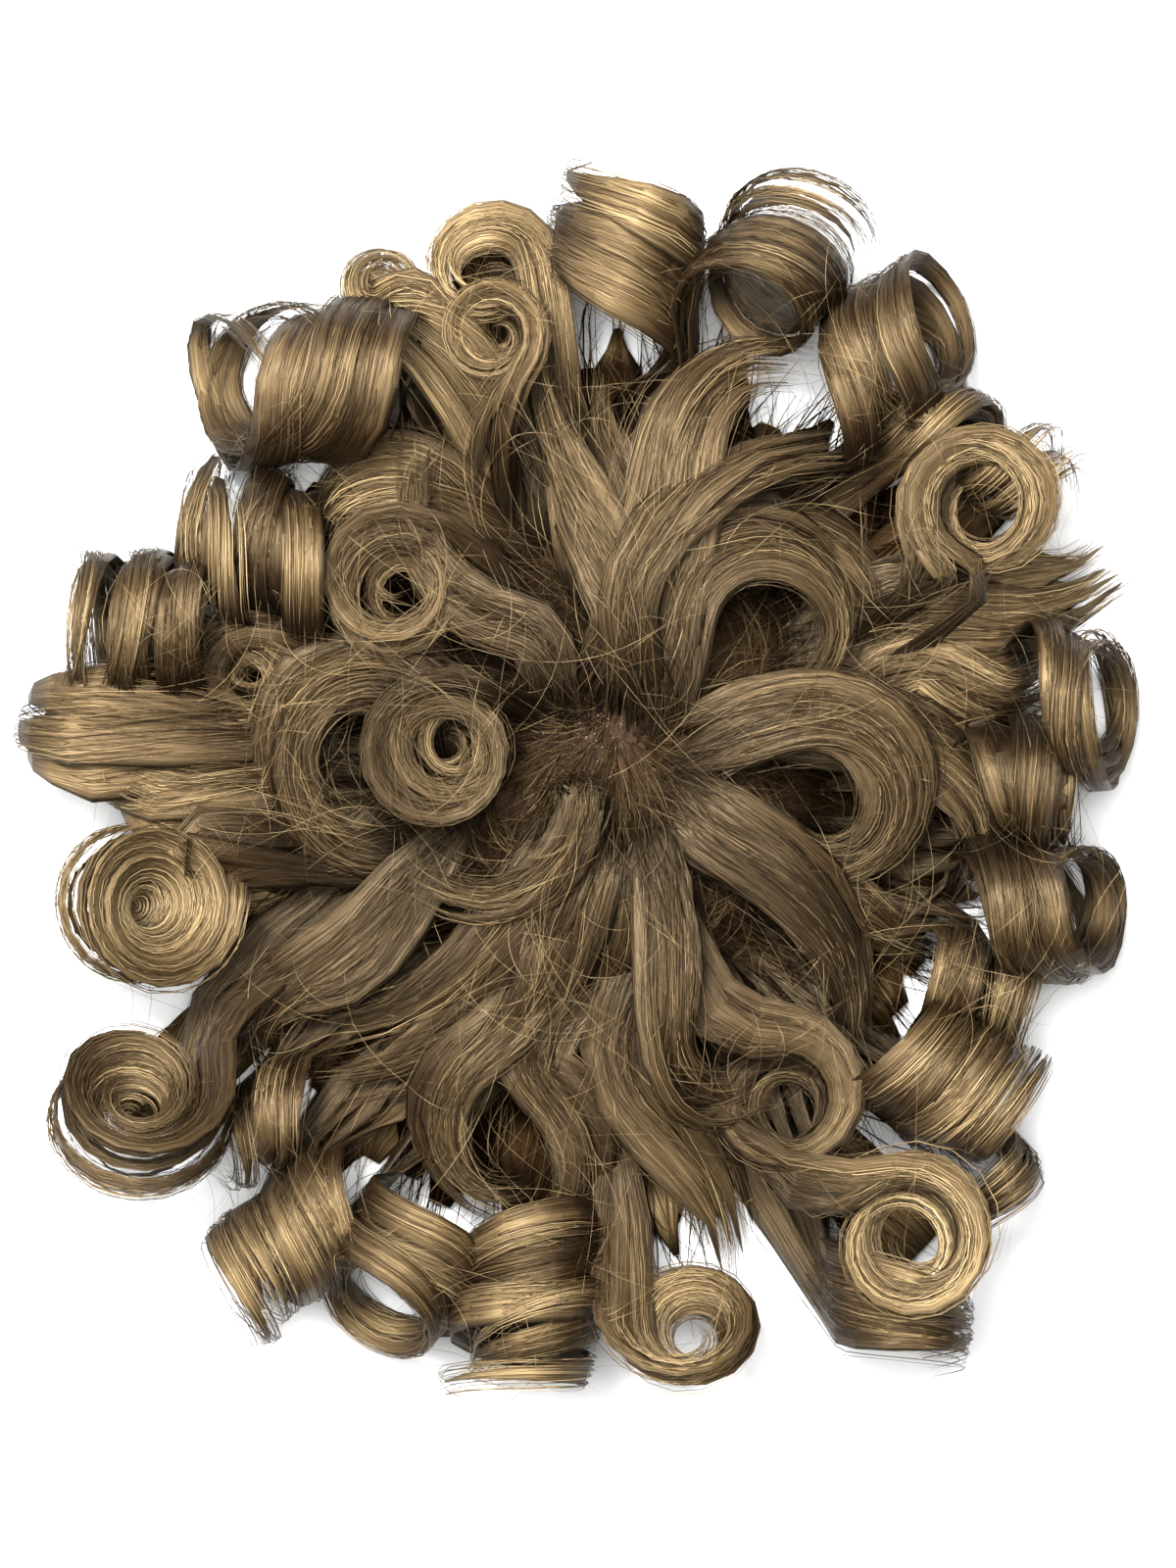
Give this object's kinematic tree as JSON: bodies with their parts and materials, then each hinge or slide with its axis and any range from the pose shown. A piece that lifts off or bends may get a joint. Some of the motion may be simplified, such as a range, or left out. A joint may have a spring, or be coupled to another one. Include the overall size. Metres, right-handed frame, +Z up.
{
  "type": "hair closure",
  "caption": "Domed lace hair closure with wavy locks that sweep out from a crown whorl and end in corkscrew curls and rings, hollow underneath for the head.",
  "frame": {"origin": "on the table, under the middle of the whole piece", "axes": "+Z up out of the table, +Y from the crown to the top of the picture, +X to its right"},
  "size_m": [0.2814, 0.3148, 0.0486],
  "materials": {
    "hair": "silky dark blonde hair, satin sheen",
    "lace": "matte brown lace with knots"
  },
  "bodies": {
    "root": {"back_left_crest": "hair", "back_left_loop": "hair", "back_left_ring": "hair", "back_left_sweep": "hair", "back_left_tail": "hair", "back_right_corkscrew": "hair", "back_right_loop": "hair", "back_sweep": "hair", "crown_back": "hair", "crown_back_left": "hair", "crown_back_right": "hair", "crown_front": "hair", "crown_front_left": "hair", "crown_front_right": "hair", "crown_front_wisp": "hair", "crown_left_hook": "hair", "crown_right": "hair", "crown_right_back": "hair", "crown_right_hook": "hair", "front_arc": "hair", "front_curl": "hair", "front_left_arc": "hair", "front_left_barrel": "hair", "front_left_loop": "hair", "front_left_sweep": "hair", "front_right_barrel": "hair", "front_right_ring": "hair", "front_right_rosette": "hair", "front_right_sweep": "hair", "front_ring": "hair", "lace_base": "lace", "left_barrel": "hair", "left_front_curl": "hair", "left_front_ring": "hair", "left_front_sweep": "hair", "left_inner_ring": "hair", "left_long_arc": "hair", "left_loop": "hair", "left_low_arc": "hair", "left_ring": "hair", "left_roll": "hair", "left_small_ring": "hair", "left_small_roll": "hair", "right_arc": "hair", "right_back_arc": "hair", "right_barrel": "hair", "right_front_barrel": "hair", "right_front_end": "hair", "right_loop": "hair", "right_ring": "hair", "right_roll": "hair", "right_small_curl": "hair", "right_smile": "hair", "right_sweep": "hair", "right_tuft": "hair", "rosette": "hair", "rosette_outer_arc": "hair", "top_loop_right": "hair", "top_tuft": "hair", "under_hair": "hair"}
  },
  "joints": []
}
